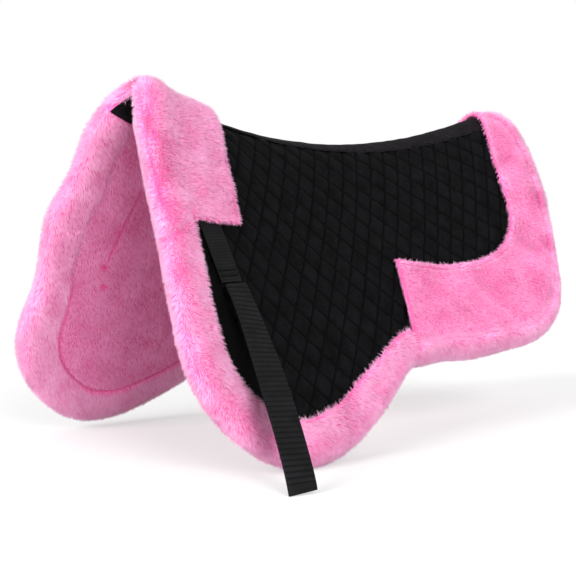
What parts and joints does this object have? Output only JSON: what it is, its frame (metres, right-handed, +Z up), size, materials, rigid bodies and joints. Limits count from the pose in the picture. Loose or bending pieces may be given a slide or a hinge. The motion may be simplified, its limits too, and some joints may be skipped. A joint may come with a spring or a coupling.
{
  "type": "wither relief half pad",
  "caption": "Half pad for under a saddle: quilted cotton over foam, fur lining and fur edges, a folded wither cuff, a cantle patch and a webbing strap on each side.",
  "frame": {"origin": "on the pad's underside, under the middle of the spine, where it rests on the horse's back", "axes": "+Z up, +Y along the spine towards the cantle, withers towards -Y, +X the horse's left; the ground of the picture lies at Z = -0.328"},
  "size_m": [0.4677, 0.6504, 0.3985],
  "materials": {
    "cotton": "black diamond-quilted cotton",
    "binding": "black woven binding along the spine",
    "webbing": "black ribbed polypropylene webbing",
    "thread": "black bartack thread",
    "foam": "soft foam and wadding inside the quilting",
    "fur": "pink synthetic sheepskin pile"
  },
  "bodies": {
    "spine": {"spine_band": "binding", "gullet_lining": "binding", "wither_crown": "fur", "cantle_crown": "fur"},
    "left_panel": {"left_quilted_cover": "cotton", "left_foam_core": "foam", "left_fur_lining": "fur", "left_flap_roll": "fur", "left_wither_cuff": "fur", "left_cantle_cuff": "fur", "left_strap_anchor": "webbing", "left_strap_bartack_1": "thread", "left_strap_bartack_2": "thread"},
    "left_free_strap": {"left_strap": "webbing"},
    "right_panel": {"right_quilted_cover": "cotton", "right_foam_core": "foam", "right_fur_lining": "fur", "right_flap_roll": "fur", "right_wither_cuff": "fur", "right_cantle_cuff": "fur", "right_strap_anchor": "webbing", "right_strap_bartack_1": "thread", "right_strap_bartack_2": "thread"},
    "right_free_strap": {"right_strap": "webbing"}
  },
  "joints": [
    {"name": "left_panel_spread", "type": "hinge", "parent": "spine", "child": "left_panel", "pos_m": [0, 0, 0.03545], "axis": [0, -0.9998, 0.0182], "range_deg": [-8, 20], "deforming": ["spine_band", "gullet_lining", "wither_crown", "cantle_crown"]},
    {"name": "right_panel_spread", "type": "hinge", "parent": "spine", "child": "right_panel", "pos_m": [0, 0, 0.03545], "axis": [0, 0.9998, -0.0182], "range_deg": [-8, 20], "deforming": ["spine_band", "gullet_lining", "wither_crown", "cantle_crown"]},
    {"name": "left_strap_swing", "type": "hinge", "parent": "left_panel", "child": "left_free_strap", "pos_m": [0.12741, -0.23154, -0.13571], "axis": [0.0214, -0.9587, 0.2835], "range_deg": [-12, 100]},
    {"name": "right_strap_swing", "type": "hinge", "parent": "right_panel", "child": "right_free_strap", "pos_m": [-0.12913, -0.23125, -0.1365], "axis": [0.4213, 0.5687, 0.7065], "range_deg": [0, 110]}
  ]
}
